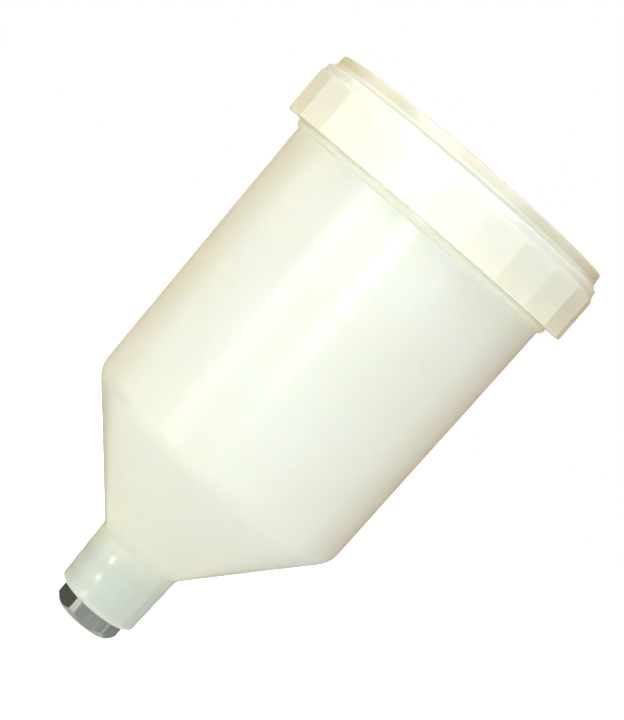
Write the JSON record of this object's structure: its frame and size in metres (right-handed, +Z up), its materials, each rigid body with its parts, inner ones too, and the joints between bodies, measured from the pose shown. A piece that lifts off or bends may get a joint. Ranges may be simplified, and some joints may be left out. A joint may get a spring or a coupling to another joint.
{
  "type": "gravity-feed paint cup with lid",
  "caption": "Milky plastic gravity-feed paint cup: a barrel on a cone and neck with a threaded metal hex connector, a strainer inside, and a faceted screw lid with a drip-check vent.",
  "frame": {"origin": "centre of the metal connector's bottom face, where the cup's thread meets the spray gun", "axes": "+Z up the cup's axis from the connector to the lid; +X is the side that the vent ports face"},
  "size_m": [0.1004, 0.1004, 0.1726],
  "materials": {
    "cup_plastic": "moulded translucent nylon, milky, soft gloss",
    "connector_metal": "turned hexagon bar with fine draw lines along it",
    "washer_plastic": "smooth nylon",
    "strainer_plastic": "moulded polypropylene, satin",
    "strainer_gauze": "woven nylon gauze",
    "lid_plastic": "moulded translucent polyethylene, milky, soft gloss",
    "gasket_foam": "closed-cell polyethylene foam, skin on both faces",
    "baffle_plastic": "moulded polypropylene",
    "valve_rubber": "thin solvent-proof rubber, matte",
    "cap_plastic": "moulded acetal, gloss"
  },
  "bodies": {
    "cup": {"cup_body": "cup_plastic", "hex_insert": "connector_metal", "seat_washer": "washer_plastic"},
    "strainer": {"strainer_frame": "strainer_plastic", "strainer_mesh": "strainer_gauze"},
    "seal_ring": {"lid_gasket": "gasket_foam"},
    "screw_lid": {"lid": "lid_plastic", "drip_baffle": "baffle_plastic"},
    "check_valve": {"valve_disc": "valve_rubber"},
    "vent_knob": {"vent_cap": "cap_plastic"}
  },
  "joints": [
    {"name": "lid_rise", "type": "slide", "parent": "cup", "child": "seal_ring", "axis": [0, 0, 1], "range_m": [0, 0.02]},
    {"name": "lid_turn", "type": "hinge", "parent": "seal_ring", "child": "screw_lid", "pos_m": [0, 0, 0.157], "axis": [0, 0, 1], "range_deg": [0, 1440]},
    {"name": "valve_float", "type": "slide", "parent": "screw_lid", "child": "check_valve", "axis": [0, 0, 1], "range_m": [0, 0.00245]},
    {"name": "vent_turn", "type": "hinge", "parent": "screw_lid", "child": "vent_knob", "pos_m": [0, 0, 0.17], "axis": [0, 0, 1], "range_deg": [0, 90]},
    {"name": "strainer_lift", "type": "slide", "parent": "cup", "child": "strainer", "axis": [0, 0, 1], "range_m": [0, 0.08]}
  ],
  "couplings": [
    {"joint": "lid_rise", "follows": "lid_turn", "m_per_rad": 0.00079577}
  ]
}
